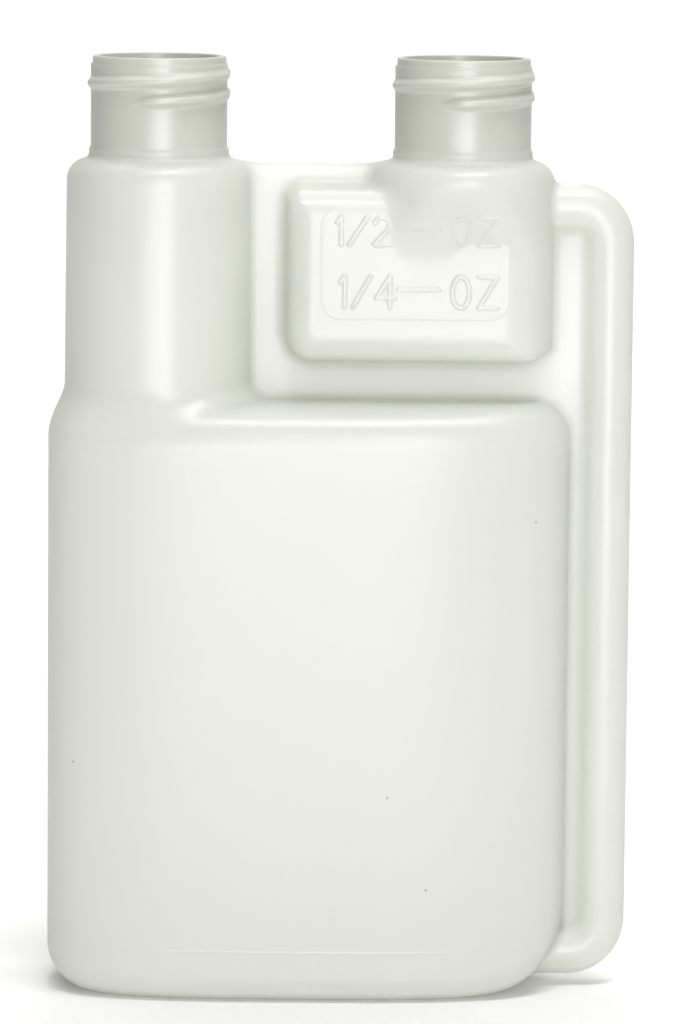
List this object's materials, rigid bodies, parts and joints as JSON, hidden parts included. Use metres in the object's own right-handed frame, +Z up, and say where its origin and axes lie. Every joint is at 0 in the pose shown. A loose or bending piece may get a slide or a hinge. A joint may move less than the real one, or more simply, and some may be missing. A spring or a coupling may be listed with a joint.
{
  "type": "dosing bottle",
  "caption": "Blow-moulded squeeze bottle whose side tube fills a marked dosing chamber under its own pouring neck, with a separate neck that fills the reservoir.",
  "frame": {"origin": "under the middle of the bottle's outline, on the surface it stands on", "axes": "+Z up, +X from the reservoir towards the transfer tube, +Y to the back; the mould halves meet at Y = 0"},
  "size_m": [0.093, 0.037, 0.1492],
  "materials": {
    "natural_polyethylene": "satin"
  },
  "bodies": {
    "root": {"bottle": "natural_polyethylene"}
  },
  "joints": []
}
